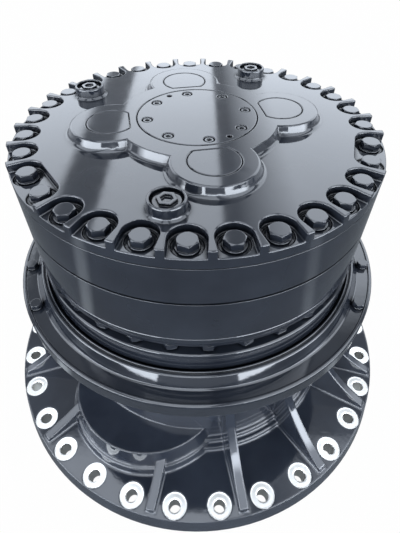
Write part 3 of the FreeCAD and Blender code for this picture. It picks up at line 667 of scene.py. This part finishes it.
# %% Workshop floor
FLOOR_HALF = 8.0
FLOOR_WHITE = 0.985
FLOOR_COLOUR = (0.8, 0.8, 0.8, 1.0)
FLOOR_ROUGHNESS = 0.9
DIM_FLOOR = (0.18, 0.20, 0.22, 1.0)
LEFT_PATH = (0.675, 0.75, 0.825, 1.0)
RIGHT_PATH = (0.405, 0.45, 0.495, 1.0)
PATH_BEARING = math.radians(65)
PATH_WIDTH = math.radians(6)
PATH_CORE = 0.3

floor_mesh = bpy.data.meshes.new("floor")
made = bmesh.new()
bmesh.ops.create_grid(made, x_segments=1, y_segments=1, size=FLOOR_HALF)
made.to_mesh(floor_mesh)
made.free()
floor = bpy.data.objects.new("floor", floor_mesh)
bpy.context.collection.objects.link(floor)
pale = Finish("pale_floor")
pale.paint(base_color=FLOOR_COLOUR, roughness=FLOOR_ROUGHNESS)
east = pale.part(pale.here(), "X")
south = pale.part(pale.here(), "Y") * -1.0
off_path = (east.math("ABSOLUTE").math("ARCTAN2", south) - PATH_BEARING).math("ABSOLUTE")
on_path = pale.fade(off_path, PATH_WIDTH * PATH_CORE, PATH_WIDTH, 1.0, 0.0)
daylight = pale.blend(east > 0.0, LEFT_PATH, RIGHT_PATH)
white = pale.node("ShaderNodeEmission", inputs={"Strength": 1.0})
dim = pale.node("ShaderNodeEmission", inputs={"Color": pale.blend(on_path, DIM_FLOOR, daylight)})
plain = Ink(pale, pale.shader.outputs[0])
seen = pale.ray("Is Camera Ray") * FLOOR_WHITE
cut_out = pale.node("ShaderNodeMixShader", inputs={0: seen, 1: plain, 2: white})
mirrored = pale.ray("Is Glossy Ray")
pale.surface(pale.node("ShaderNodeMixShader", inputs={0: mirrored, 1: cut_out, 2: dim}))
floor_mesh.materials.append(pale.material)
print("floor:", 2 * FLOOR_HALF, "m wide")

# %% [markdown]
# ## The roof of the workshop
# Over the drive is a bright roof. Two dark girders run away from the camera and a third crosses them,
# and behind the camera is a bright doorway with something dark standing in it, which is what the
# sloping sides of the cover mirror. A place on a flat roof is a direction's sideways part over its
# height, so the girders are drawn in those two numbers. Only reflections see all this: everything
# matt gets soft light from all round, with a little more from the doorway.

# %% Workshop roof
SOFT_LIGHT = 0.60
ROOF_LEVEL = 4.0
GIRDER_LEVEL = 0.6
HORIZON_LEVEL = 0.8
ROOF_EDGE = (0.10, 0.30)
LEFT_GIRDER = (-0.60, -0.56, -0.41, -0.39)
RIGHT_GIRDER = (0.09, 0.11, 0.16, 0.42)
CROSS_GIRDER = (0.34, 0.38, 0.66, 0.86)
DOOR_LEVEL = 13.0
DOOR_ON_MATT = 2.0
DOOR_EDGE = (math.radians(70), math.radians(84))
DOOR_TOP = (0.35, 0.50)
DARK_BLOCK = math.radians(22)
BLOCK_TOP = 0.26
LOWEST = 0.02
WORKSHOP_TINT = (0.84, 0.91, 1.01, 1.0)
PURE_WHITE = (1.0, 1.0, 1.0, 1.0)

world = bpy.data.worlds.new("workshop")
bpy.context.scene.world = world
world.use_nodes = True
sky = Tree(world.node_tree)
direction = sky.node("ShaderNodeTexCoord", output="Generated")
east, north, height = (sky.part(direction, axis) for axis in "XYZ")
across_roof = east / height.math("MAXIMUM", LOWEST)
along_roof = north / height.math("MAXIMUM", LOWEST)


def girder(place, sides):
    """1 where the girder is, with edges as soft as the four places of its sides say."""
    return sky.fade(place, sides[0], sides[1], 0.0, 1.0) * sky.fade(place, sides[2], sides[3], 1.0, 0.0)


aside = east.math("ARCTAN2", north * -1.0).math("ABSOLUTE")
block = (aside < DARK_BLOCK) * (height < BLOCK_TOP)
doorway = sky.fade(aside, *DOOR_EDGE, 1.0, 0.0) * sky.fade(height, *DOOR_TOP, 1.0, 0.0) * (1.0 - block)
lengthwise = girder(across_roof, LEFT_GIRDER).math("MAXIMUM", girder(across_roof, RIGHT_GIRDER))
dark = lengthwise.math("MAXIMUM", girder(along_roof, CROSS_GIRDER))
roof = (1.0 - dark) * (ROOF_LEVEL - GIRDER_LEVEL) + GIRDER_LEVEL
above = sky.fade(height, *ROOF_EDGE, 0.0, 1.0)
room_light = (roof * above + (1.0 - above) * HORIZON_LEVEL).math("MAXIMUM", doorway * DOOR_LEVEL)
seen = sky.ray("Is Camera Ray")
mirrored = sky.ray("Is Glossy Ray")
soft = (1.0 - mirrored) * (doorway * DOOR_ON_MATT + SOFT_LIGHT)
ground = sky.tree.nodes["Background"]
sky.feed(ground.inputs["Color"], sky.blend(seen, WORKSHOP_TINT, PURE_WHITE))
sky.feed(ground.inputs["Strength"], seen + (1.0 - seen) * (mirrored * room_light + soft))
print("soft light:", SOFT_LIGHT, "and in reflections:", ROOF_LEVEL)

# %% [markdown]
# ## The end of the script
# The view transform is Standard, so a colour shows as it was written.

# %% View transform
bpy.context.scene.view_settings.view_transform = "Standard"
